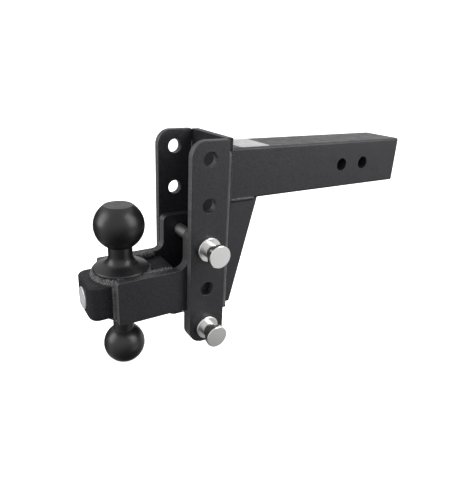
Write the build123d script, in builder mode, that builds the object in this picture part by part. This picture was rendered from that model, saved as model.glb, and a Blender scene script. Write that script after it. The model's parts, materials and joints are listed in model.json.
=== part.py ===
"""Adjustable drop hitch with two balls, for a 2.5 inch receiver tube.

A square shank carries a welded U channel. The ball mount, two side plates with a nose block
between them, stands in the channel and is held by two cross pins, each kept in by a spring clip.

Frame: millimetres, +Z up, +X forwards into the receiver, +Y to the vehicle's left. The origin is
on the shank's axis, at the middle of the receiver pin hole nearer the channel.
"""

import os

from build123d import *

INCH = 25.4

# ---------------------------------------------------------------- driving dimensions, mm

# shank
shank_size = 2.5 * INCH
shank_edge_radius = 3.0
shank_end_chamfer = 2.0
shank_ahead_of_hole = 113.0
receiver_hole_setback = 188.0
receiver_hole_pitch = 41.3
pin_hole_radius = 11 / 16 * INCH / 2

# channel
channel_plate = 3 / 8 * INCH
channel_width = 4.0 * INCH
channel_height = 10.0 * INCH
channel_depth = 47.5
channel_corner_radius = 19.0
plate_rear_corner_radius = 2.0
plate_edge_round = 1.0
hole_edge_round = 0.4
radius_tolerance = 0.01
web_top_chamfer = 0.5
web_rear_fillet = 1.5
web_lap = 1.2
hole_count = 5
hole_pitch = 53.0
hole_setback = 24.5
channel_top_above_shank = 14.25
web_shortfall = 36.0

# gusset under the shank
gusset_width = 60.0
gusset_top_length = 48.0
gusset_foot_length = 13.0
gusset_edge_chamfer = 1.2

# ball mount
mount_plate = 0.5 * INCH
mount_side_gap = 0.5
mount_rear_gap = 1.2
mount_leg_front = 47.0
mount_lobe_front = 44.5
mount_front = 132.5
mount_leg_above_pin = 20.0
mount_lobe_below_pin = 23.5
arm_top = -107.5
arm_bottom = -162.0
arm_front_bottom_radius = 2.0
arm_front_top_radius = 3.0
arm_to_leg_radius = 12.0
arm_to_lobe_radius = 9.0
leg_front_radius = 8.0
leg_rear_radius = 6.0
lobe_front_radius = 16.0
lobe_rear_radius = 9.0
block_front = 161.5
block_rear = 53.5
block_top = -114.0
block_bottom = -160.0
block_nose_radius = 12.0
block_top_fillet = 3.5
block_chin_fillet = 9.0
block_square_rear = 1.0

# balls, on one vertical axis
ball_setback = 114.5
upper_ball_radius = 2.3125 * INCH / 2
upper_ball_height = -54.0
upper_ball_flat_radius = 16.5
upper_neck_radius = 1.125 * INCH / 2
upper_neck_bottom = -90.0
upper_flare_radius = 12.0
upper_flare_slope = 20.0
upper_flange_radius = 33.0
upper_flange_top = -105.0
upper_flange_edge = 1.0
upper_boss_radius = 26.0
upper_stud_radius = 1.25 * INCH / 2
lower_ball_radius = 2.0 * INCH / 2
lower_ball_height = -212.0
lower_ball_flat_radius = 8.0
lower_neck_radius = 1.0 * INCH / 2
lower_flange_radius = 25.0
lower_flange_height = 6.0
lower_cone_height = 10.0
lower_stud_radius = 1.0 * INCH / 2
stud_fit = 0.05

# cross pins and their spring clips
pin_radius = 5 / 8 * INCH / 2
pin_head_gap = 0.3
pin_flange_radius = 15.0
pin_flange_length = 4.5
pin_waist_radius = 9.0
pin_waist_length = 17.0
pin_knob_radius = 13.75
pin_knob_length = 6.5
pin_edge_chamfer = 0.8
pin_overhang = 16.5
pin_tip_chamfer = 2.0
clip_offset = 7.5
clip_hole_radius = 2.1
clip_wire_radius = 1.6

# weld metal
shank_weld_leg = 7.0
seam_bead_radius = 6.8
weld_taper_stop = 0.5
gusset_bead_radius = 3.0
mount_bead_radius = 5.0
mount_top_bead_radius = 5.5
mount_top_bead_rise = 2.5
upper_ring_bead_radius = 6.5
upper_ring_inset = 3.0
upper_ring_rise = 1.0
lower_ring_bead_radius = 4.5
weld_end_gap = 6.0
seam_top_gap = 13.0
seam_end_gap = 1.0
weld_corner_gap = 1.5

# blank label and badge
label_length = 44.0
label_width = 54.0
label_setback = 20.0
label_thickness = 0.3
label_corner_radius = 3.0
badge_radius = 13.5
badge_thickness = 1.4
badge_edge_fillet = 0.6

# ---------------------------------------------------------------- places worked out from them

web_back = -receiver_hole_setback
web_inside = web_back - channel_plate
channel_front = web_inside - channel_depth
channel_inside = channel_width / 2 - channel_plate
channel_top = shank_size / 2 + channel_top_above_shank
channel_bottom = channel_top - channel_height
web_bottom = channel_bottom + web_shortfall
web_half_width = channel_inside + web_lap
hole_margin = (channel_height - (hole_count - 1) * hole_pitch) / 2
hole_x = web_inside - hole_setback
hole_heights = [channel_top - hole_margin - i * hole_pitch for i in range(hole_count)]
upper_pin_height = hole_heights[2]
lower_pin_height = hole_heights[4]
shank_bottom = -shank_size / 2
mount_outer = channel_inside - mount_side_gap
mount_inner = mount_outer - mount_plate
ball_x = web_inside - ball_setback
block_middle = (block_top + block_bottom) / 2
clip_y = channel_width / 2 + clip_offset


def side_plane(y):
    """A drawing plane square to Y, X to the right and Z up; it extrudes towards -Y."""
    return Plane(origin=(0, y, 0), x_dir=(1, 0, 0), z_dir=(0, -1, 0))


def cross_plane(x):
    """A drawing plane square to X, with Y to the right and Z up; it extrudes towards +X."""
    return Plane(origin=(x, 0, 0), x_dir=(0, 1, 0), z_dir=(1, 0, 0))


def rims(part, radius):
    """The round edges of the holes of this radius that run along Y."""
    circles = part.edges().filter_by(GeomType.CIRCLE)
    return circles.filter_by(lambda edge: edge.is_closed and abs(edge.radius - radius) < radius_tolerance)


def straight_bead(start, end, radius):
    """A round rod of weld metal along a seam, to be trimmed by the plates it joins."""
    seam = Vector(*end) - Vector(*start)
    with BuildPart() as rod:
        with BuildSketch(Plane(origin=start, z_dir=seam)):
            Circle(radius)
        extrude(amount=seam.length)
    return rod.part


def ring_bead(axis, ring_radius, along, radius):
    """A round ring of weld metal about an axis, `along` it from the axis's own position."""
    across = axis.position + axis.direction * along
    upright = Plane(origin=across, x_dir=Vector(1, 0, 0), z_dir=axis.direction)
    with BuildPart() as ring:
        with BuildSketch(Plane(origin=across, x_dir=upright.x_dir, z_dir=-upright.y_dir)):
            with Locations((ring_radius, 0)):
                Circle(radius)
        revolve(axis=axis)
    return ring.part


# ---------------------------------------------------------------- shank

with BuildPart() as shank:
    with BuildSketch(cross_plane(web_back)):
        RectangleRounded(shank_size, shank_size, shank_edge_radius)
    extrude(amount=shank_ahead_of_hole - web_back)
    chamfer(shank.faces().sort_by(Axis.X)[-1].edges(), shank_end_chamfer)
    with BuildSketch(side_plane(0)):
        with Locations((0, 0), (receiver_hole_pitch, 0)):
            Circle(pin_hole_radius)
    extrude(amount=shank_size, both=True, mode=Mode.SUBTRACT)

# ---------------------------------------------------------------- channel


def channel_side(inner_y):
    """One upright side plate of the channel, its front corners round and five pin holes in it."""
    front_corners = channel_corner_radius
    rear_corners = plate_rear_corner_radius
    rear = web_inside
    with BuildPart() as plate:
        with BuildSketch(side_plane(inner_y)):
            with BuildLine():
                FilletPolyline(
                    (channel_front, channel_bottom),
                    (rear, channel_bottom),
                    (rear, channel_top),
                    (channel_front, channel_top),
                    radius=[front_corners, rear_corners, rear_corners, front_corners],
                    close=True,
                )
            make_face()
        extrude(amount=channel_plate)
        fillet(plate.faces().filter_by(Axis.Y).edges(), plate_edge_round)
        with BuildSketch(side_plane(inner_y)):
            with Locations([(hole_x, height) for height in hole_heights]):
                Circle(pin_hole_radius)
        extrude(amount=channel_plate, mode=Mode.SUBTRACT)
        chamfer(rims(plate, pin_hole_radius), hole_edge_round)
    return plate


right_channel_plate = channel_side(-channel_inside)
left_channel_plate = channel_side(channel_inside + channel_plate)

with BuildPart() as channel_web:
    with BuildSketch(cross_plane(web_inside)):
        with Locations((0, (channel_top + web_bottom) / 2)):
            Rectangle(2 * web_half_width, channel_top - web_bottom)
    extrude(amount=channel_plate)
    fillet(channel_web.faces().sort_by(Axis.X)[-1].edges().filter_by(Axis.Z), web_rear_fillet)
    top_edges = channel_web.faces().sort_by(Axis.Z)[-1].edges().filter_by(Axis.Y)
    chamfer(top_edges, web_top_chamfer)

# ---------------------------------------------------------------- gusset

with BuildPart() as channel_gusset:
    with BuildSketch(side_plane(gusset_width / 2)):
        with BuildLine():
            Polyline(
                (web_back, shank_bottom),
                (web_back, web_bottom),
                (web_back + gusset_foot_length, web_bottom),
                (web_back + gusset_top_length, shank_bottom),
                close=True,
            )
        make_face()
    extrude(amount=gusset_width)
    slanted = channel_gusset.faces().sort_by(Axis.X)[-1]
    chamfer(slanted.edges().filter_by(Axis.Y, reverse=True), gusset_edge_chamfer)

# ---------------------------------------------------------------- ball mount


def mount_side(outer_y):
    """One side plate of the ball mount: an arm to the front and a leg with the two pin holes."""
    front = web_inside - mount_front
    leg_front = web_inside - mount_leg_front
    lobe_front = web_inside - mount_lobe_front
    rear = web_inside - mount_rear_gap
    leg_top = upper_pin_height + mount_leg_above_pin
    lobe_bottom = lower_pin_height - mount_lobe_below_pin
    with BuildPart() as plate:
        with BuildSketch(side_plane(outer_y)):
            with BuildLine():
                FilletPolyline(
                    (front, arm_bottom),
                    (lobe_front, arm_bottom),
                    (lobe_front, lobe_bottom),
                    (rear, lobe_bottom),
                    (rear, leg_top),
                    (leg_front, leg_top),
                    (leg_front, arm_top),
                    (front, arm_top),
                    radius=[
                        arm_front_bottom_radius,
                        arm_to_lobe_radius,
                        lobe_front_radius,
                        lobe_rear_radius,
                        leg_rear_radius,
                        leg_front_radius,
                        arm_to_leg_radius,
                        arm_front_top_radius,
                    ],
                    close=True,
                )
            make_face()
        extrude(amount=mount_plate)
        fillet(plate.faces().filter_by(Axis.Y).edges(), plate_edge_round)
        with BuildSketch(side_plane(outer_y)):
            with Locations((hole_x, upper_pin_height), (hole_x, lower_pin_height)):
                Circle(pin_hole_radius)
        extrude(amount=mount_plate, mode=Mode.SUBTRACT)
        chamfer(rims(plate, pin_hole_radius), hole_edge_round)
    return plate


right_mount_plate = mount_side(-mount_inner)
left_mount_plate = mount_side(mount_outer)

with BuildPart() as ball_block:
    with BuildSketch(Plane.XY.offset(block_bottom)):
        with Locations((web_inside - (block_front + block_rear) / 2, 0)):
            nose = Rectangle(block_front - block_rear, 2 * mount_inner)
        fillet(nose.vertices().group_by(Axis.X)[0], block_nose_radius)
    extrude(amount=block_top - block_bottom)
    chin = ball_block.faces().sort_by(Axis.Z)[0].edges().filter_by(
        lambda edge: edge.center().X < web_inside - block_front + block_nose_radius
    )
    fillet(chin, block_chin_fillet)
    brow = ball_block.faces().sort_by(Axis.Z)[-1].edges().filter_by(
        lambda edge: edge.center().X < web_inside - block_rear - block_square_rear
    )
    fillet(brow, block_top_fillet)
    with BuildSketch(Plane.XY.offset(block_middle)):
        with Locations((ball_x, 0)):
            Circle(upper_stud_radius + stud_fit)
    extrude(amount=block_top - block_middle, mode=Mode.SUBTRACT)
    with BuildSketch(Plane.XY.offset(block_bottom)):
        with Locations((ball_x, 0)):
            Circle(lower_stud_radius + stud_fit)
    extrude(amount=block_middle - block_bottom, mode=Mode.SUBTRACT)

# ---------------------------------------------------------------- balls


def depth_at(ball_radius, radius):
    """How far from a ball's centre its surface narrows to this radius."""
    return (ball_radius**2 - radius**2) ** 0.5


ball_axis = Axis((ball_x, 0, 0), (0, 0, 1))
ball_plane = Plane(origin=(ball_x, 0, 0), x_dir=(1, 0, 0), z_dir=(0, -1, 0))

upper_flange_bottom = arm_top
upper_throat = upper_ball_height - depth_at(upper_ball_radius, upper_neck_radius)
upper_crown = upper_ball_height + depth_at(upper_ball_radius, upper_ball_flat_radius)

with BuildPart() as upper_ball:
    with BuildSketch(ball_plane):
        with BuildLine():
            neck = Line((upper_neck_radius, upper_throat), (upper_neck_radius, upper_neck_bottom))
            flare = JernArc(
                start=neck @ 1,
                tangent=(0, -1),
                radius=upper_flare_radius,
                arc_size=90 - upper_flare_slope,
            )
            side = Polyline(
                flare @ 1,
                (upper_flange_radius - upper_flange_edge, upper_flange_top),
                (upper_flange_radius, upper_flange_top - upper_flange_edge),
                (upper_flange_radius, upper_flange_bottom),
                (upper_boss_radius, upper_flange_bottom),
                (upper_boss_radius, block_top),
                (upper_stud_radius, block_top),
                (upper_stud_radius, block_middle),
                (0, block_middle),
                (0, upper_crown),
                (upper_ball_flat_radius, upper_crown),
            )
            ThreePointArc(side @ 1, (upper_ball_radius, upper_ball_height), neck @ 0)
        make_face()
    revolve(axis=ball_axis)

lower_flange_bottom = block_bottom - lower_flange_height
lower_cone_bottom = lower_flange_bottom - lower_cone_height
lower_throat = lower_ball_height + depth_at(lower_ball_radius, lower_neck_radius)
lower_crown = lower_ball_height - depth_at(lower_ball_radius, lower_ball_flat_radius)

with BuildPart() as lower_ball:
    with BuildSketch(ball_plane):
        with BuildLine():
            side = Polyline(
                (lower_neck_radius, lower_throat),
                (lower_neck_radius, lower_cone_bottom),
                (lower_flange_radius, lower_flange_bottom),
                (lower_flange_radius, block_bottom),
                (lower_stud_radius, block_bottom),
                (lower_stud_radius, block_middle),
                (0, block_middle),
                (0, lower_crown),
                (lower_ball_flat_radius, lower_crown),
            )
            ThreePointArc(side @ 1, (lower_ball_radius, lower_ball_height), side @ 0)
        make_face()
    revolve(axis=ball_axis)

# ---------------------------------------------------------------- cross pins and clips


def cross_pin(height):
    """A headed pin through the channel and the ball mount, drilled upright near its tip."""
    head = -channel_width / 2 - pin_head_gap
    waist = head - pin_flange_length
    knob = waist - pin_waist_length
    face = knob - pin_knob_length
    tip = channel_width / 2 + pin_overhang
    with BuildPart() as pin:
        with BuildSketch(Plane(origin=(hole_x, 0, height), x_dir=(0, 1, 0), z_dir=(1, 0, 0))):
            with BuildLine():
                Polyline(
                    (face, 0),
                    (face, pin_knob_radius - pin_edge_chamfer),
                    (face + pin_edge_chamfer, pin_knob_radius),
                    (knob - pin_edge_chamfer, pin_knob_radius),
                    (knob, pin_knob_radius - pin_edge_chamfer),
                    (knob, pin_waist_radius),
                    (waist, pin_waist_radius),
                    (waist, pin_flange_radius - pin_edge_chamfer),
                    (waist + pin_edge_chamfer, pin_flange_radius),
                    (head, pin_flange_radius),
                    (head, pin_radius),
                    (tip - pin_tip_chamfer, pin_radius),
                    (tip, pin_radius - pin_tip_chamfer),
                    (tip, 0),
                    close=True,
                )
            make_face()
        revolve(axis=Axis((hole_x, 0, height), (0, 1, 0)))
        with BuildSketch(Plane.XY.offset(height - pin_flange_radius)):
            with Locations((hole_x, clip_y)):
                Circle(clip_hole_radius)
        extrude(amount=2 * pin_flange_radius, mode=Mode.SUBTRACT)
    return pin


def spring_clip(height):
    """A bent wire clip: a straight leg through the pin, a round loop and a bowed outer leg."""
    leg_foot = 18.0
    neck = 17.0
    neck_right = 4.2
    loop_foot = 25.0
    loop_top = 37.0
    loop_left = -7.0
    loop_right = 10.0
    bow = 10.4
    bow_half_height = 5.0
    pinch, pinch_height = 5.5, -13.0
    tail = 8.5
    plane = Plane(origin=(hole_x, clip_y, height), x_dir=(1, 0, 0), z_dir=(0, -1, 0))
    with BuildPart() as clip:
        with BuildLine(plane) as wire:
            FilletPolyline(
                (0, -leg_foot),
                (0, neck),
                (loop_left, loop_foot),
                (loop_left, loop_top),
                (loop_right, loop_top),
                (loop_right, loop_foot),
                (neck_right, neck),
                (bow, bow_half_height),
                (bow, -bow_half_height),
                (pinch, pinch_height),
                (tail, -leg_foot),
                radius=[4.0, 5.0, 6.0, 6.0, 5.0, 3.0, 6.0, 6.0, 3.0],
            )
        with BuildSketch(Plane(origin=wire.line @ 0, z_dir=wire.line % 0)):
            Circle(clip_wire_radius)
        sweep(path=wire.line)
    return clip


upper_pin = cross_pin(upper_pin_height)
lower_pin = cross_pin(lower_pin_height)
upper_clip = spring_clip(upper_pin_height)
lower_clip = spring_clip(lower_pin_height)

# ---------------------------------------------------------------- welds

with BuildPart() as shank_weld:
    with BuildSketch(cross_plane(web_back)):
        RectangleRounded(
            shank_size + 2 * shank_weld_leg,
            shank_size + 2 * shank_weld_leg,
            shank_edge_radius + shank_weld_leg,
        )
    extrude(amount=shank_weld_leg - weld_taper_stop, taper=45)
    for neighbour in (shank, channel_gusset):
        add(neighbour.part, mode=Mode.SUBTRACT)

with BuildPart() as channel_welds:
    for side in (-1, 1):
        seam_y = side * web_half_width
        add(
            straight_bead(
                (web_inside, seam_y, channel_top - seam_top_gap),
                (web_inside, seam_y, web_bottom + seam_end_gap),
                seam_bead_radius,
            )
        )
    split(bisect_by=Plane.YZ.offset(web_inside), keep=Keep.TOP)
    for neighbour in (channel_web, left_channel_plate, right_channel_plate, shank_weld):
        add(neighbour.part, mode=Mode.SUBTRACT)

with BuildPart() as gusset_welds:
    for side in (-1, 1):
        seam_y = side * gusset_width / 2
        add(
            straight_bead(
                (web_back + shank_weld_leg, seam_y, shank_bottom),
                (web_back + gusset_top_length - weld_end_gap, seam_y, shank_bottom),
                gusset_bead_radius,
            )
        )
        add(
            straight_bead(
                (web_back, seam_y, shank_bottom - shank_weld_leg),
                (web_back, seam_y, web_bottom + weld_end_gap),
                gusset_bead_radius,
            )
        )
    for neighbour in (shank, channel_web, channel_gusset, shank_weld):
        add(neighbour.part, mode=Mode.SUBTRACT)

with BuildPart() as mount_welds:
    seam_front = web_inside - mount_front
    seam_rear = web_inside - block_rear - weld_end_gap
    for side in (-1, 1):
        seam_y = side * mount_inner
        for height, radius in (
            (block_top + mount_top_bead_rise, mount_top_bead_radius),
            (block_bottom, mount_bead_radius),
        ):
            add(
                straight_bead(
                    (seam_front + weld_corner_gap, seam_y, height),
                    (seam_rear, seam_y, height),
                    radius,
                )
            )
        add(
            straight_bead(
                (seam_front, seam_y, block_top - weld_corner_gap),
                (seam_front, seam_y, block_bottom + weld_corner_gap),
                mount_bead_radius,
            )
        )
    for neighbour in (left_mount_plate, right_mount_plate, ball_block, upper_ball, lower_ball):
        add(neighbour.part, mode=Mode.SUBTRACT)

with BuildPart() as upper_ball_weld:
    upper_ring_radius = upper_flange_radius - upper_ring_inset
    upper_ring_height = block_top + upper_ring_rise
    add(ring_bead(ball_axis, upper_ring_radius, upper_ring_height, upper_ring_bead_radius))
    for neighbour in (upper_ball, ball_block, left_mount_plate, right_mount_plate, mount_welds):
        add(neighbour.part, mode=Mode.SUBTRACT)

with BuildPart() as lower_ball_weld:
    add(ring_bead(ball_axis, lower_flange_radius, block_bottom, lower_ring_bead_radius))
    for neighbour in (lower_ball, ball_block, left_mount_plate, right_mount_plate, mount_welds):
        add(neighbour.part, mode=Mode.SUBTRACT)

# ---------------------------------------------------------------- label and badge

with BuildPart() as capacity_label:
    with BuildSketch(Plane.XY.offset(shank_size / 2)):
        with Locations((web_back + label_setback + label_length / 2, 0)):
            RectangleRounded(label_length, label_width, label_corner_radius)
    extrude(amount=label_thickness)

with BuildPart() as front_badge:
    badge_x = web_inside - block_front
    with BuildSketch(Plane(origin=(badge_x, 0, block_middle), z_dir=(-1, 0, 0))):
        Circle(badge_radius)
    extrude(amount=badge_thickness)
    fillet(front_badge.edges().group_by(Axis.X)[0], badge_edge_fillet)

# ---------------------------------------------------------------- files

pieces = {
    "shank": shank,
    "channel_web": channel_web,
    "left_channel_plate": left_channel_plate,
    "right_channel_plate": right_channel_plate,
    "channel_gusset": channel_gusset,
    "shank_weld": shank_weld,
    "channel_welds": channel_welds,
    "gusset_welds": gusset_welds,
    "left_mount_plate": left_mount_plate,
    "right_mount_plate": right_mount_plate,
    "ball_block": ball_block,
    "mount_welds": mount_welds,
    "upper_ball": upper_ball,
    "lower_ball": lower_ball,
    "upper_ball_weld": upper_ball_weld,
    "lower_ball_weld": lower_ball_weld,
    "upper_pin": upper_pin,
    "lower_pin": lower_pin,
    "upper_clip": upper_clip,
    "lower_clip": lower_clip,
    "capacity_label": capacity_label,
    "front_badge": front_badge,
}

os.makedirs("parts", exist_ok=True)
for name, piece in pieces.items():
    piece.part.label = name
    export_step(piece.part, f"parts/{name}.step")
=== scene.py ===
"""Looks for the adjustable drop hitch: materials, weld beads, label, badge, light and camera."""

import json
import math
import random

import bpy
from mathutils import Matrix, Vector
from mathutils.bvhtree import BVHTree


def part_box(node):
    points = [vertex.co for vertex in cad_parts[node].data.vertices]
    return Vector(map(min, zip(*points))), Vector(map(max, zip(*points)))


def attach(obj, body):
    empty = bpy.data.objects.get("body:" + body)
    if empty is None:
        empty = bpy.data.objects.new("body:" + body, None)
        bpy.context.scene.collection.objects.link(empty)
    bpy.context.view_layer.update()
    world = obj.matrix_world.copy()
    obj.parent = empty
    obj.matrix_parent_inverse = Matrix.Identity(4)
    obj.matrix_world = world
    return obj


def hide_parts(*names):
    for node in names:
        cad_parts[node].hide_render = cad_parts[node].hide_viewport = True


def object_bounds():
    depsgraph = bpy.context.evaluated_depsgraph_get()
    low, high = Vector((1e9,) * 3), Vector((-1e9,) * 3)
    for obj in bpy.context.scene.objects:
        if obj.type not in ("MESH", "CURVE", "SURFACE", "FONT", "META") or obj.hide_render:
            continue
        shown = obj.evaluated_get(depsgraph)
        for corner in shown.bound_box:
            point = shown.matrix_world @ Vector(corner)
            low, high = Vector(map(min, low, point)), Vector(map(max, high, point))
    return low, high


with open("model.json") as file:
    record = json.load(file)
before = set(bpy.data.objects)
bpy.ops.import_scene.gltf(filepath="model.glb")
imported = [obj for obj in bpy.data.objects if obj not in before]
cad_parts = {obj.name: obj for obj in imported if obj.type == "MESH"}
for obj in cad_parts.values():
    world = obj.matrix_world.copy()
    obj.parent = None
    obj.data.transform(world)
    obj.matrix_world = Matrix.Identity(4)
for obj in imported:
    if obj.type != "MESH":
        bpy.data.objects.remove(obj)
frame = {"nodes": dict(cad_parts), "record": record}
nodes = frame["nodes"]
cad_low, cad_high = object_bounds()
MM = 0.001


# ---------------------------------------------------------------- camera


def aim_camera():
    """A camera behind and to the right of the hitch, looking down along the shank."""
    place = Vector((-0.46499, -0.47116, 0.12171))
    yaw = math.radians(32.31)
    pitch = math.radians(-21.42)
    roll = math.radians(2.61)
    level = math.cos(pitch)
    forward = Vector((math.sin(yaw) * level, math.cos(yaw) * level, math.sin(pitch)))
    right = Vector((math.cos(yaw), -math.sin(yaw), 0.0))
    up = right.cross(forward)
    rolled_right = right * math.cos(roll) + up * math.sin(roll)
    rolled_up = up * math.cos(roll) - right * math.sin(roll)
    turn = Matrix((rolled_right, rolled_up, -forward)).transposed()
    data = bpy.data.cameras.new("camera")
    data.sensor_fit = "AUTO"
    data.sensor_width = 36.0
    data.lens = 33.31
    data.clip_start = 0.01
    data.clip_end = 20.0
    camera = bpy.data.objects.new("camera", data)
    camera.matrix_world = Matrix.Translation(place) @ turn.to_4x4()
    bpy.context.scene.collection.objects.link(camera)
    bpy.context.scene.camera = camera


aim_camera()


# ---------------------------------------------------------------- a short way to write materials


class Nodes:
    """One material's node tree. Inputs take a number, a colour or another node's output."""

    def __init__(self, name, **fixed):
        self.material = bpy.data.materials.new(name)
        self.material.use_nodes = True
        self.tree = self.material.node_tree
        self.shader = self.tree.nodes["Principled BSDF"]
        for socket, value in fixed.items():
            self.set(self.shader, socket.replace("_", " "), value)
        self.place = self.node("ShaderNodeTexCoord").outputs["Object"]
        self.geometry = self.node("ShaderNodeNewGeometry")

    def set(self, node, socket, value):
        target = node.inputs[socket]
        if isinstance(value, bpy.types.NodeSocket):
            self.tree.links.new(value, target)
        elif isinstance(value, (tuple, list)) and len(value) == 3 and target.type == "RGBA":
            target.default_value = (*value, 1.0)
        else:
            target.default_value = value

    def node(self, kind, inputs=None, **settings):
        made = self.tree.nodes.new(kind)
        for key, value in settings.items():
            setattr(made, key, value)
        for socket, value in (inputs or {}).items():
            self.set(made, socket, value)
        return made

    def math(self, operation, *values, clamp=False):
        inputs = dict(enumerate(values))
        return self.node("ShaderNodeMath", inputs, operation=operation, use_clamp=clamp).outputs[0]

    def vector(self, operation, *values, output="Vector"):
        inputs = dict(enumerate(values))
        return self.node("ShaderNodeVectorMath", inputs, operation=operation).outputs[output]

    def axes(self, vector):
        return self.node("ShaderNodeSeparateXYZ", {0: vector}).outputs

    def noise(self, scale, detail=2.0, place=None, roughness=0.5, distortion=0.0):
        inputs = {
            "Vector": self.place if place is None else place,
            "Scale": scale,
            "Detail": detail,
            "Roughness": roughness,
            "Distortion": distortion,
        }
        return self.node("ShaderNodeTexNoise", inputs).outputs["Fac"]

    def line_noise(self, along, scale, detail=2.0):
        inputs = {"W": along, "Scale": scale, "Detail": detail}
        return self.node("ShaderNodeTexNoise", inputs, noise_dimensions="1D").outputs["Fac"]

    def spread(self, value, low, high, to_low, to_high):
        """The value's range low to high mapped smoothly onto to_low to to_high."""
        inputs = {"Value": value, "From Min": low, "From Max": high, "To Min": to_low, "To Max": to_high}
        made = self.node("ShaderNodeMapRange", inputs, interpolation_type="SMOOTHSTEP")
        return made.outputs["Result"]

    def blend(self, share, first, second):
        """The first colour, going over to the second as share goes from 0 to 1."""
        made = self.node("ShaderNodeMix", data_type="RGBA")
        self.set(made, "Factor", share)
        for index, value in ((6, first), (7, second)):
            target = made.inputs[index]
            if isinstance(value, bpy.types.NodeSocket):
                self.tree.links.new(value, target)
            else:
                target.default_value = (*value, 1.0)
        return made.outputs[2]

    def mix(self, share, first, second):
        """The same for two numbers."""
        made = self.node("ShaderNodeMix", data_type="FLOAT")
        for index, value in ((0, share), (2, first), (3, second)):
            self.set(made, index, value)
        return made.outputs[0]

    def reach(self, first, second):
        """The distance from the axis that the two coordinates are measured across."""
        squares = [self.math("MULTIPLY", value, value) for value in (first, second)]
        return self.math("SQRT", self.math("ADD", *squares))

    def bump(self, height, depth, normal=None, strength=1.0):
        inputs = {"Height": height, "Distance": depth, "Strength": strength}
        if normal is not None:
            inputs["Normal"] = normal
        return self.node("ShaderNodeBump", inputs).outputs["Normal"]

    def edge(self, reach, low=0.86, high=0.985):
        """1 on edges that stand out within `reach`, 0 on flat and gently curved faces."""
        rounded = self.node("ShaderNodeBevel", {"Radius": reach}, samples=4).outputs["Normal"]
        match = self.vector("DOT_PRODUCT", rounded, self.geometry.outputs["Normal"], output="Value")
        return self.spread(match, low, high, 1.0, 0.0)


# ---------------------------------------------------------------- materials


def powder_coat(name, front_highlight_share=0.0, ior=1.5, rougher=0.0, relief_share=1.0):
    """Satin black powder coat: orange peel, grain, dust on upward faces, lighter edges that are part wear
    and part painted highlight, and lighter forward-facing plate faces: torch lines plus a painted
    highlight.
    """
    coat = Nodes(name, IOR=ior)
    cloudy = coat.noise(45.0, 4.0)
    speckle = coat.spread(coat.noise(520.0, 4.0, roughness=0.7), 0.35, 0.65, 0.0, 1.0)
    peel = coat.noise(620.0, 3.0)
    grain = coat.noise(2300.0, 1.0)
    # Patches of lighter paint on the edges: part wear, part painted highlight along the edges.
    edge_wear_and_highlight = coat.spread(coat.noise(160.0, 3.0), 0.35, 0.6, 0.25, 1.0)
    edge = coat.math("MULTIPLY", coat.edge(1.1 * MM), edge_wear_and_highlight)
    facing = coat.axes(coat.geometry.outputs["Normal"])
    settled = coat.spread(coat.noise(90.0, 5.0), 0.45, 0.75, 0.0, 0.25)
    dust = coat.math("MULTIPLY", coat.spread(facing[2], 0.6, 1.0, 0.0, 1.0), settled)
    torch_lines = coat.noise(700.0, 3.0, place=coat.vector("MULTIPLY", coat.place, (1.0, 0.05, 1.0)))
    # Plate faces turned to the front (-X) are painted lighter: their torch lines plus a painted highlight
    # from the left light.
    front_face_highlight_mask = coat.spread(facing[0], -0.95, -0.5, front_highlight_share, 0.0)
    cut_face_and_highlight = coat.math("MULTIPLY", front_face_highlight_mask, coat.spread(torch_lines, 0.3, 0.7, 0.6, 1.0))
    paint = coat.blend(cloudy, (0.0105, 0.0098, 0.0125), (0.0195, 0.0185, 0.0225))
    paint = coat.blend(coat.math("MULTIPLY", speckle, 0.45), paint, (0.036, 0.035, 0.040))
    paint = coat.blend(edge, paint, (0.06, 0.06, 0.063))
    paint = coat.blend(dust, paint, (0.05, 0.05, 0.052))
    paint = coat.blend(cut_face_and_highlight, paint, (0.11, 0.11, 0.113))
    coat.set(coat.shader, "Base Color", paint)
    rough = coat.spread(coat.noise(75.0, 3.0), 0.3, 0.7, 0.32 + rougher, 0.42 + rougher)
    rough = coat.math("ADD", rough, coat.math("MULTIPLY", speckle, 0.13))
    rough = coat.mix(cut_face_and_highlight, rough, 0.5)
    coat.set(coat.shader, "Roughness", coat.mix(edge, rough, 0.34))
    relief = coat.bump(peel, relief_share * 0.24 * MM)
    coat.set(coat.shader, "Normal", coat.bump(grain, 0.04 * MM, relief))
    return coat.material


def coated_weld(name, relief_share, rough_low, rough_high, tone=1.0):
    """The same coat over weld metal: glossier where it pooled, with fine pits and soot."""
    coat = Nodes(name, IOR=1.5)
    pits = coat.noise(900.0, 3.0)
    ripple = coat.noise(430.0, 3.0, distortion=0.6)
    dark, light = 0.016 * tone, 0.045 * tone
    paint = coat.blend(coat.noise(120.0, 4.0), (dark, dark, dark), (light, light, light))
    coat.set(coat.shader, "Base Color", paint)
    coat.set(coat.shader, "Roughness", coat.spread(pits, 0.3, 0.7, rough_low, rough_high))
    relief = coat.bump(ripple, relief_share * 0.8 * MM)
    coat.set(coat.shader, "Normal", coat.bump(pits, relief_share * 0.15 * MM, relief))
    return coat.material


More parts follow.
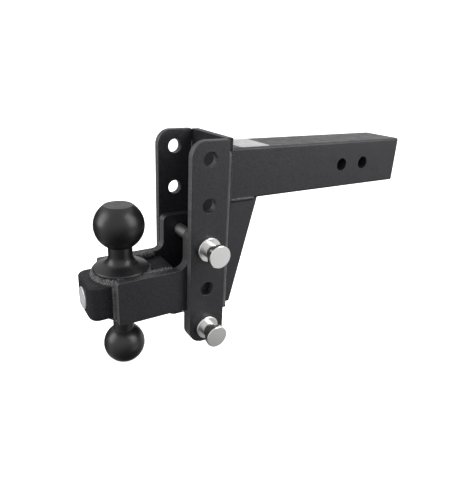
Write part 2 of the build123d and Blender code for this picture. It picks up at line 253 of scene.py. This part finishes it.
def ball_coat(name, node, tone):
    """Smooth black coat over a turned ball: faint lathe lines round its upright axis."""
    low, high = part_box(node)
    coat = Nodes(name, IOR=1.5)
    centre = ((low.x + high.x) / 2, (low.y + high.y) / 2, 0.0)
    x, y, z = coat.axes(coat.vector("SUBTRACT", coat.place, centre))
    from_axis = coat.reach(x, y)
    up = coat.math("ABSOLUTE", coat.axes(coat.geometry.outputs["Normal"])[2])
    flat = coat.spread(up, 0.9, 0.99, 0.0, 1.0)
    lathe = coat.mix(flat, coat.line_noise(z, 2600.0), coat.line_noise(from_axis, 2600.0))
    dark, light = 0.006 * tone, 0.012 * tone
    paint = coat.blend(coat.noise(60.0, 4.0), (dark, dark, dark), (light, light, light))
    # Lighter coat along the ball's edges: a painted highlight.
    edge = coat.math("MULTIPLY", coat.edge(0.9 * MM), 0.6)
    coat.set(coat.shader, "Base Color", coat.blend(edge, paint, (0.09, 0.09, 0.092)))
    coat.set(coat.shader, "Roughness", coat.spread(coat.noise(110.0, 3.0), 0.3, 0.7, 0.31, 0.38))
    relief = coat.bump(lathe, 0.012 * MM)
    coat.set(coat.shader, "Normal", coat.bump(coat.noise(900.0, 2.0), 0.025 * MM, relief))
    return coat.material


def turned_stainless(name, node):
    """Turned stainless: rings on the faces, fine feed lines along the shaft, light scuffs."""
    low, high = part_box(node)
    steel = Nodes(name, Metallic=1.0)
    centre = ((low.x + high.x) / 2, 0.0, (low.z + high.z) / 2)
    x, y, z = steel.axes(steel.vector("SUBTRACT", steel.place, centre))
    from_axis = steel.reach(x, z)
    facing = steel.math("ABSOLUTE", steel.axes(steel.geometry.outputs["Normal"])[1])
    flat = steel.spread(facing, 0.6, 0.9, 0.0, 1.0)
    rings = steel.line_noise(from_axis, 1500.0, 3.0)
    feed = steel.line_noise(y, 1500.0, 3.0)
    lines = steel.mix(flat, feed, rings)
    scuffs = steel.noise(140.0, 5.0, roughness=0.65, distortion=0.8)
    tint = steel.blend(lines, (0.74, 0.735, 0.725), (0.86, 0.855, 0.845))
    tint = steel.blend(steel.spread(scuffs, 0.55, 0.8, 0.0, 0.35), tint, (0.58, 0.57, 0.55))
    span = steel.math("ABSOLUTE", steel.math("ADD", y, steel.math("MULTIPLY", scuffs, 6 * MM)))
    middle = steel.spread(span, 26 * MM, 38 * MM, 1.0, 0.0)
    shaded = steel.math("MULTIPLY", middle, steel.spread(scuffs, 0.3, 0.6, 0.75, 1.0))
    tint = steel.blend(shaded, tint, (0.34, 0.34, 0.35))
    steel.set(steel.shader, "Base Color", tint)
    shaft_rough = steel.spread(lines, 0.3, 0.7, 0.12, 0.20)
    rough = steel.mix(flat, shaft_rough, steel.spread(lines, 0.3, 0.7, 0.28, 0.38))
    steel.set(steel.shader, "Roughness", steel.mix(shaded, rough, 0.46))
    relief = steel.bump(lines, 0.02 * MM)
    steel.set(steel.shader, "Normal", steel.bump(scuffs, 0.02 * MM, relief))
    return steel.material


def spring_wire():
    """Bright drawn wire: fine streaks and a little oxide."""
    wire = Nodes("spring_wire", Metallic=1.0)
    streaks = wire.noise(1400.0, 3.0, place=wire.vector("MULTIPLY", wire.place, (1.0, 1.0, 0.08)))
    oxide = wire.spread(wire.noise(220.0, 4.0), 0.5, 0.75, 0.0, 0.5)
    tint = wire.blend(streaks, (0.55, 0.55, 0.54), (0.72, 0.72, 0.7))
    wire.set(wire.shader, "Base Color", wire.blend(oxide, tint, (0.35, 0.33, 0.3)))
    wire.set(wire.shader, "Roughness", wire.spread(streaks, 0.3, 0.7, 0.2, 0.36))
    wire.set(wire.shader, "Normal", wire.bump(streaks, 0.02 * MM))
    return wire.material


def silver_label():
    """A blank silver film label: brushed film, a printed frame line and plain ruled fields."""
    low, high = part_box("capacity_label")
    film = Nodes("silver_label")
    x, y, _ = film.axes(film.vector("SUBTRACT", film.place, ((low.x + high.x) / 2, 0.0, 0.0)))
    half_x, half_y = (high.x - low.x) / 2, (high.y - low.y) / 2
    from_end = film.math("SUBTRACT", half_x, film.math("ABSOLUTE", x))
    from_side = film.math("SUBTRACT", half_y, film.math("ABSOLUTE", y))
    inside = film.math("MINIMUM", from_end, from_side)
    line_start = film.math("GREATER_THAN", inside, 1.8 * MM)
    line_stop = film.math("LESS_THAN", inside, 2.6 * MM)
    frame_line = film.math("MULTIPLY", line_start, line_stop)
    field = film.math("GREATER_THAN", inside, 4.5 * MM)
    rule = film.math("LESS_THAN", film.math("PINGPONG", x, 4.0 * MM), 0.45 * MM)
    print_share = film.math("MAXIMUM", frame_line, film.math("MULTIPLY", field, rule))
    brushed = film.noise(900.0, 3.0, place=film.vector("MULTIPLY", film.place, (0.06, 1.0, 1.0)))
    creases = film.noise(55.0, 4.0, distortion=1.2)
    silver = film.blend(brushed, (0.58, 0.58, 0.59), (0.70, 0.70, 0.71))
    silver = film.blend(film.spread(creases, 0.45, 0.65, 0.0, 0.4), silver, (0.40, 0.40, 0.41))
    ink = film.math("MULTIPLY", print_share, 0.8)
    film.set(film.shader, "Base Color", film.blend(ink, silver, (0.16, 0.16, 0.165)))
    film.set(film.shader, "Metallic", film.mix(print_share, 0.55, 0.0))
    film.set(film.shader, "Roughness", film.spread(brushed, 0.3, 0.7, 0.30, 0.42))
    film.set(film.shader, "Normal", film.bump(creases, 0.15 * MM))
    return film.material


def silver_badge():
    """A blank satin disc: spun rings and a raised plain rim line."""
    low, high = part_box("front_badge")
    disc = Nodes("silver_badge", Metallic=0.35)
    _, y, z = disc.axes(disc.vector("SUBTRACT", disc.place, (0.0, 0.0, (low.z + high.z) / 2)))
    from_axis = disc.reach(y, z)
    spun = disc.line_noise(from_axis, 1800.0, 3.0)
    from_rim = disc.math("ABSOLUTE", disc.math("SUBTRACT", from_axis, 11.2 * MM))
    rim = disc.math("LESS_THAN", from_rim, 0.35 * MM)
    tint = disc.blend(spun, (0.80, 0.80, 0.81), (0.92, 0.92, 0.93))
    disc.set(disc.shader, "Base Color", disc.blend(rim, tint, (0.35, 0.35, 0.36)))
    disc.set(disc.shader, "Roughness", disc.spread(spun, 0.3, 0.7, 0.26, 0.4))
    disc.set(disc.shader, "Normal", disc.bump(spun, 0.02 * MM))
    return disc.material


coat_material = powder_coat("black_powder_coat")
plate_material = powder_coat("cut_plate_coat_front_highlight", front_highlight_share=0.9)
# A less reflective copy of the coat (low IOR) darkens the recessed ball block: painted shade; it is also
# rougher with deeper peel.
block_material = powder_coat("shaded_block_coat", ior=1.27, rougher=0.06, relief_share=4.5)
# A less reflective copy of the coat (low IOR) darkens the web inside the channel: painted shade.
web_material = powder_coat("inner_web_shaded_coat", ior=1.28)
# A slightly less reflective copy of the coat (IOR 1.46) dims the shank's sides: painted shade.
shank_material = powder_coat("shank_coat", ior=1.46)
weld_material = coated_weld("coated_weld", 1.0, 0.16, 0.34)
# The channel's corner seam is painted much lighter (tone 2.2): a painted highlight for the light caught on
# the channel's rounded rear corner.
smooth_weld_painted_highlight = coated_weld("smooth_weld_painted_highlight", 0.12, 0.26, 0.38, 2.2)
# The rough welds are lighter (tone 3.2): thin coat over weld metal, plus a painted highlight for the bright
# specks on the ripples.
rough_weld = coated_weld("rough_weld", 2.1, 0.09, 0.26, 3.2)
looks = {
    "spring_wire": spring_wire(),
    "black_powder_coat": coat_material,
    "coated_weld": weld_material,
    "silver_label": silver_label(),
    "silver_badge": silver_badge(),
}
for entry in frame["record"]["subparts"]:
    name, slot = entry["node"], entry["material_slot"]
    if slot == "ball_coat":
        # The lower ball's coat is lighter (tone 1.6): painted light standing in for light bounced up from
        # the floor.
        material = ball_coat(f"{name}_coat", name, 1.6 if name == "lower_ball" else 1.0)
    elif slot == "stainless_pin":
        material = turned_stainless(f"{name}_steel", name)
    elif name.endswith("_plate"):
        material = plate_material
    elif name == "ball_block":
        material = block_material
    elif name == "channel_web":
        material = web_material
    elif name == "shank":
        material = shank_material
    else:
        material = looks[slot]
    mesh = nodes[name].data
    mesh.materials.clear()
    mesh.materials.append(material)


# ---------------------------------------------------------------- weld beads

BEAD_STEP = 0.45 * MM
BEAD_SIDES = 20
RIPPLE_PITCH = 2.7 * MM


def wander(seed, waves=5):
    """A smooth, seeded, random function of a length along a seam, from -1 to 1."""
    draw = random.Random(seed)
    terms = []
    for _ in range(waves):
        terms.append((draw.uniform(40, 420), draw.uniform(0, math.tau), draw.uniform(0.4, 1.0)))
    total = sum(weight for _, _, weight in terms)
    return lambda along: sum(w * math.sin(f * along + p) for f, p, w in terms) / total


def clods(seed, radius, waves=14):
    """Random lumps over a bead's skin, given by the length along it and the angle round it."""
    draw = random.Random(seed)
    terms = []
    for _ in range(waves):
        pitch = draw.uniform(0.35, 1.4) * radius
        turns = draw.randint(-3, 3)
        terms.append((math.tau / pitch, turns, draw.uniform(0, math.tau), draw.uniform(0.5, 1.0)))
    total = sum(weight for _, _, _, weight in terms) / 2.5
    return lambda along, angle: sum(w * math.sin(f * along + t * angle + p) for f, t, p, w in terms) / total


def add_bead(
    vertices, faces, path, outward, radius, seed, closed=False, ripple=0.10, uneven=0.07, lumpy=0.05
):
    """One weld bead: a round tube along the path, with crescent ripples that face `outward`."""
    swell, sway = wander(f"{seed} swell"), wander(f"{seed} sway")
    lumps = clods(f"{seed} lumps", radius)
    count = len(path)
    first = len(vertices)
    travelled = 0.0
    length = sum((path[i + 1] - path[i]).length for i in range(count - 1))
    if closed:
        length += (path[0] - path[-1]).length
    laps = max(round(length / RIPPLE_PITCH), 1)
    for i, point in enumerate(path):
        before = path[i - 1] if closed or i else path[i]
        after = path[(i + 1) % count] if closed or i + 1 < count else path[i]
        tangent = (after - before).normalized()
        out = outward[i]
        out = (out - tangent * out.dot(tangent)).normalized()
        side = tangent.cross(out)
        if closed:
            turn = math.tau * travelled / length
            drift = 0.5 * (swell(0.02 * math.sin(turn)) + swell(0.03 + 0.02 * math.cos(turn)))
            lean = 0.5 * (sway(0.02 * math.sin(turn)) + sway(0.03 + 0.02 * math.cos(turn)))
            end = 1.0
        else:
            drift, lean = swell(travelled), sway(travelled)
            nearest = min(travelled, length - travelled) / (1.1 * radius)
            end = math.sqrt(max(1.0 - (1.0 - min(nearest, 1.0)) ** 2, 0.0)) * 0.75 + 0.25
        middle = point + side * (0.35 * MM * lean)
        for k in range(BEAD_SIDES):
            angle = math.tau * k / BEAD_SIDES
            facing = math.cos(angle)
            phase = travelled / length * laps + 0.10 * drift * laps / 10 + 0.55 * (1 - facing)
            scallop = abs(math.sin(math.pi * phase)) ** 0.6 - 0.6
            share = max(facing, 0.0) ** 0.5
            lump = lumps(travelled, angle)
            size = radius * end * (1 + uneven * drift + ripple * scallop * share + lumpy * lump)
            vertices.append(middle + (out * facing + side * math.sin(angle)) * size)
        travelled += (path[(i + 1) % count] - point).length if closed or i + 1 < count else 0.0
    spans = count if closed else count - 1
    for i in range(spans):
        here, there = first + i * BEAD_SIDES, first + ((i + 1) % count) * BEAD_SIDES
        for k in range(BEAD_SIDES):
            k_next = (k + 1) % BEAD_SIDES
            faces.append((here + k, here + k_next, there + k_next, there + k))
    if not closed:
        for start, flip in ((first, True), (first + (count - 1) * BEAD_SIDES, False)):
            rim = [vertices[start + k] for k in range(BEAD_SIDES)]
            hub = len(vertices)
            vertices.append(sum(rim, Vector()) / BEAD_SIDES)
            for k in range(BEAD_SIDES):
                a, b = start + k, start + (k + 1) % BEAD_SIDES
                faces.append((hub, b, a) if flip else (hub, a, b))


def straight(start, end, out):
    """Points from start to end, with the same outward direction all along."""
    start, end = Vector(start), Vector(end)
    count = max(int((end - start).length / BEAD_STEP), 8)
    path = [start.lerp(end, i / count) for i in range(count + 1)]
    return path, [Vector(out)] * len(path)


def ring(centre, ring_radius, lift):
    """A level circle of points, facing away from the axis and `lift` up or down."""
    count = int(math.tau * ring_radius / BEAD_STEP)
    path, outward = [], []
    for i in range(count):
        angle = math.tau * i / count
        spoke = Vector((math.cos(angle), math.sin(angle), 0.0))
        path.append(Vector(centre) + spoke * ring_radius)
        outward.append(spoke + Vector((0, 0, lift)))
    return path, outward


def square_ring(x, half, corner):
    """Points round the shank's rounded square section, facing out and forwards."""
    path, outward = [], []
    straight_run = half - corner
    side_count = int(2 * straight_run / BEAD_STEP)
    arc_count = int(math.pi / 2 * corner / BEAD_STEP) + 2
    for quarter in range(4):
        spin = Matrix.Rotation(quarter * math.pi / 2, 3, "X")
        for i in range(side_count):
            along = -straight_run + 2 * straight_run * i / side_count
            path.append(Vector((x, 0, 0)) + spin @ Vector((0, along, half)))
            outward.append(spin @ Vector((0, 0, 1)) + Vector((1, 0, 0)))
        for i in range(arc_count):
            angle = math.pi / 2 * i / arc_count
            spoke = Vector((0, math.sin(angle), math.cos(angle)))
            centre = Vector((0, straight_run, straight_run))
            path.append(Vector((x, 0, 0)) + spin @ (centre + spoke * corner))
            outward.append(spin @ spoke + Vector((1, 0, 0)))
    return path, outward


def plate_surfaces():
    """The bare plates and shank, to find where a drop of spatter lands."""
    points, polygons = [], []
    for entry in frame["record"]["subparts"]:
        if entry["material_slot"] == "black_powder_coat":
            mesh = nodes[entry["node"]].data
            first = len(points)
            points.extend(vertex.co.copy() for vertex in mesh.vertices)
            polygons.extend([first + index for index in face.vertices] for face in mesh.polygons)
    return BVHTree.FromPolygons(points, polygons)


def add_spatter(vertices, faces, path, outward, radius, seed, count):
    """Small drops of metal that landed beside the bead, half sunk in the plate."""
    draw = random.Random(seed)
    for _ in range(count):
        i = draw.randrange(len(path))
        out = outward[i].normalized()
        before, after = path[max(i - 1, 0)], path[min(i + 1, len(path) - 1)]
        side = (after - before).normalized().cross(out)
        sign = draw.choice((-1, 1))
        flank = (out + side * sign).normalized()
        above = path[i] + flank * (radius + draw.uniform(0.8, 5.0) * MM) + out * (3 * MM)
        size = draw.uniform(0.25, 0.6) * MM
        spot = plates.ray_cast(above, -out, 8 * MM)[0]
        if spot is None:
            continue
        first = len(vertices)
        rows, columns = 5, 8
        vertices.append(spot + Vector((0, 0, size)))
        for row in range(1, rows):
            tilt = math.pi * row / rows
            for column in range(columns):
                turn = math.tau * column / columns
                level, height = math.sin(tilt), math.cos(tilt)
                spoke = Vector((math.cos(turn) * level, math.sin(turn) * level, height))
                vertices.append(spot + spoke * size)
        vertices.append(spot - Vector((0, 0, size)))
        last = len(vertices) - 1
        for column in range(columns):
            right = (column + 1) % columns
            faces.append((first, first + 1 + column, first + 1 + right))
            foot = first + 1 + (rows - 2) * columns
            faces.append((last, foot + right, foot + column))
            for row in range(rows - 2):
                a = first + 1 + row * columns
                faces.append((a + column, a + columns + column, a + columns + right, a + right))


def weld(node, beads, material=None, trim=None):
    """All the beads that stand for one CAD weld, in one mesh."""
    vertices, faces = [], []
    for number, (route, radius, options) in enumerate(beads):
        path, outward = route
        add_bead(vertices, faces, path, outward, radius, f"{node} {number}", **options)
        add_spatter(vertices, faces, path, outward, radius, f"{node} spatter {number}", 6)
    if trim:
        vertices = [trim(vertex) for vertex in vertices]
    mesh = bpy.data.meshes.new(f"{node}_bead")
    mesh.from_pydata(vertices, [], faces)
    mesh.polygons.foreach_set("use_smooth", [True] * len(faces))
    mesh.update()
    piece = bpy.data.objects.new(f"{node}_bead", mesh)
    bpy.context.scene.collection.objects.link(piece)
    mesh.materials.append(material or weld_material)
    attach(piece, "frame")
    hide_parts(node)
    return piece


def lay_welds():
    """Every seam's place comes from the boxes of the plates it joins."""
    _, shank_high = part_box("shank")
    web_low, web_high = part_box("channel_web")
    _, gusset_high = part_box("channel_gusset")
    block_low, block_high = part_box("ball_block")
    arm_low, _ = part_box("left_mount_plate")
    web_back = web_high.x

    bead_low, bead_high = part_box("shank_weld")
    reach = 0.93 * (bead_high.z - shank_high.z)
    route = square_ring(web_back, shank_high.z, 3.0 * MM)
    weld("shank_weld", [(route, reach, dict(closed=True, uneven=0.05, ripple=0.05, lumpy=0.04))])

    seam_low, seam_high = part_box("channel_welds")
    reach = seam_high.y - web_high.y
    beads = []
    for side in (-1, 1):
        y = side * web_high.y
        route = straight((seam_low.x, y, seam_high.z), (seam_low.x, y, seam_low.z), (0.8, side, 0))
        beads.append((route, 0.98 * reach, dict(ripple=0.012, uneven=0.015, lumpy=0.006)))

    def out_of_channel(vertex):
        """Keeps the bead's buried side from showing in the channel's inner corner."""
        if abs(vertex.y) < web_high.y + 0.2 * MM:
            return Vector((max(vertex.x, web_low.x + 0.3 * MM), vertex.y, vertex.z))
        return vertex

    weld("channel_welds", beads, smooth_weld_painted_highlight, out_of_channel)

    bead_low, bead_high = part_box("gusset_welds")
    reach = bead_high.y - gusset_high.y
    beads = []
    for side in (-1, 1):
        y = side * gusset_high.y
        under = ((web_back + 5 * MM, y, gusset_high.z), (bead_high.x, y, gusset_high.z))
        beads.append((straight(*under, (0, side, -0.6)), reach, {}))
        upright = ((web_back, y, gusset_high.z - 5 * MM), (web_back, y, bead_low.z))
        beads.append((straight(*upright, (1, side, 0)), reach, {}))
    weld("gusset_welds", beads)

    bead_low, bead_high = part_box("mount_welds")
    reach = bead_high.y - arm_low.y
    rise = bead_high.z - block_high.z - reach
    front = arm_low.x
    beads = []
    for side in (-1, 1):
        y = side * arm_low.y
        for z, up in ((block_high.z + rise, 1), (block_low.z, -1)):
            route = straight((front + 1.5 * MM, y, z), (bead_high.x, y, z), (0, -side, up))
            beads.append((route, 0.92 * reach, dict(ripple=0.08, uneven=0.18, lumpy=0.24)))
        top, bottom = block_high.z - 1.5 * MM, block_low.z + 1.5 * MM
        route = straight((front, y, top), (front, y, bottom), (-1, side, 0))
        beads.append((route, 0.62 * reach, dict(ripple=0.04, uneven=0.08, lumpy=0.05)))
        for z, size in ((block_high.z + 0.5 * MM, 0.95), (block_low.z + 3 * MM, 0.8)):
            x = front + 1.5 * MM
            route = straight((x, y, z), (x, y, z - 5 * MM), (-1, -0.3 * side, 0))
            beads.append((route, size * reach, dict(ripple=0.05, uneven=0.12, lumpy=0.22)))
    weld("mount_welds", beads, rough_weld)

    for node, ball, reach, lift in (
        ("upper_ball_weld", "upper_ball", 6.5 * MM, 1.2),
        ("lower_ball_weld", "lower_ball", 4.5 * MM, -1.0),
    ):
        bead_low, bead_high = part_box(node)
        ball_low, ball_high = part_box(ball)
        ring_radius = (bead_high.x - bead_low.x) / 2 - reach
        height = bead_high.z - reach if lift > 0 else bead_low.z + reach
        centre = ((ball_low.x + ball_high.x) / 2, 0, height)
        rough = dict(closed=True, ripple=0.09, uneven=0.15, lumpy=0.26)
        outer = (centre[0], centre[1], centre[2] + (-0.5 if lift > 0 else 0.5) * MM)
        beads = [(ring(centre, ring_radius, lift), 0.86 * reach, rough)]
        beads.append((ring(outer, ring_radius + 0.50 * reach, lift), 0.47 * reach, rough))
        weld(node, beads, rough_weld)


plates = plate_surfaces()
lay_welds()


# ---------------------------------------------------------------- floor and light


def lay_floor():
    """A plain pale floor that curves up into a wall far behind the hitch."""
    level = cad_low.z
    reach, rise, bend, steps = 4.0, 3.0, 1.5, 12
    profile = [(-reach, 0.0), (reach - bend, 0.0)]
    for i in range(1, steps + 1):
        turn = math.pi / 2 * i / steps
        profile.append((reach - bend + bend * math.sin(turn), bend - bend * math.cos(turn)))
    profile.append((reach, rise))
    spin = Matrix.Rotation(math.radians(-32), 3, "Z")
    vertices = []
    for along, height in profile:
        for side in (-2 * reach, 2 * reach):
            vertices.append(spin @ Vector((side, along, 0)) + Vector((0, 0, level + height)))
    faces = [(2 * i, 2 * i + 1, 2 * i + 3, 2 * i + 2) for i in range(len(profile) - 1)]
    mesh = bpy.data.meshes.new("floor")
    mesh.from_pydata(vertices, [], faces)
    mesh.polygons.foreach_set("use_smooth", [True] * len(faces))
    floor = bpy.data.objects.new("floor", mesh)
    bpy.context.scene.collection.objects.link(floor)
    pale = Nodes("floor", Roughness=0.9, Emission_Color=(1.0, 1.0, 1.0), Emission_Strength=0.85)
    pale.set(pale.shader, "Base Color", pale.blend(pale.noise(3.0), (0.93, 0.93, 0.93), (0.96, 0.96, 0.96)))
    mesh.materials.append(pale.material)
    floor.visible_diffuse = False
    floor.visible_glossy = False
    floor.visible_shadow = False


def softbox(name, target, azimuth, elevation, distance, wide, tall, radiance):
    """A soft light facing the target, `wide` by `tall` degrees as seen from it, of a given brightness."""
    level = math.cos(math.radians(elevation))
    towards = Vector(
        (
            math.cos(math.radians(azimuth)) * level,
            math.sin(math.radians(azimuth)) * level,
            math.sin(math.radians(elevation)),
        )
    )
    data = bpy.data.lights.new(name, "AREA")
    data.shape = "RECTANGLE"
    data.size = 2 * distance * math.tan(math.radians(wide / 2))
    data.size_y = 2 * distance * math.tan(math.radians(tall / 2))
    data.energy = radiance * math.pi * data.size * data.size_y
    lamp = bpy.data.objects.new(name, data)
    aim = towards.to_track_quat("Z", "Y").to_matrix().to_4x4()
    lamp.matrix_world = Matrix.Translation(target + towards * distance) @ aim
    bpy.context.scene.collection.objects.link(lamp)


def light_studio():
    """Soft lights left and right, a low fill, and a surround that is bright above and behind."""
    ball_low, ball_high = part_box("upper_ball")
    target = Vector(((ball_low.x + ball_high.x) / 2, 0.0, -0.06))
    softbox("left_softbox", target, 162, 22, 1.2, 32, 46, 4.0)
    softbox("right_softbox", target, -44, 28, 1.4, 34, 50, 3.3)
    softbox("low_fill", target, -50, -23, 1.6, 34, 26, 0.80)
    world = bpy.data.worlds.new("studio")
    world.use_nodes = True
    tree = world.node_tree
    backdrop = tree.nodes["Background"]
    direction = tree.nodes.new("ShaderNodeTexCoord").outputs["Generated"]

    def share(toward, low, high, least, most):
        dot = tree.nodes.new("ShaderNodeVectorMath")
        dot.operation = "DOT_PRODUCT"
        tree.links.new(direction, dot.inputs[0])
        dot.inputs[1].default_value = toward
        fall = tree.nodes.new("ShaderNodeMapRange")
        fall.interpolation_type = "SMOOTHSTEP"
        for socket, value in (("From Min", low), ("From Max", high), ("To Min", least), ("To Max", most)):
            fall.inputs[socket].default_value = value
        tree.links.new(dot.outputs["Value"], fall.inputs["Value"])
        return fall.outputs["Result"]

    wall = share((-0.087, 0.492, 0.866), -0.95, 0.05, 0.02, 0.83)
    curtain = share((-0.49, 0.85, -0.21), 0.72, 0.93, 1.0, 0.05)
    product = tree.nodes.new("ShaderNodeMath")
    product.operation = "MULTIPLY"
    tree.links.new(wall, product.inputs[0])
    tree.links.new(curtain, product.inputs[1])
    tree.links.new(product.outputs["Value"], backdrop.inputs["Strength"])
    backdrop.inputs["Color"].default_value = (1, 1, 1, 1)
    bpy.context.scene.world = world


lay_floor()
light_studio()
bpy.context.scene.view_settings.view_transform = "Standard"
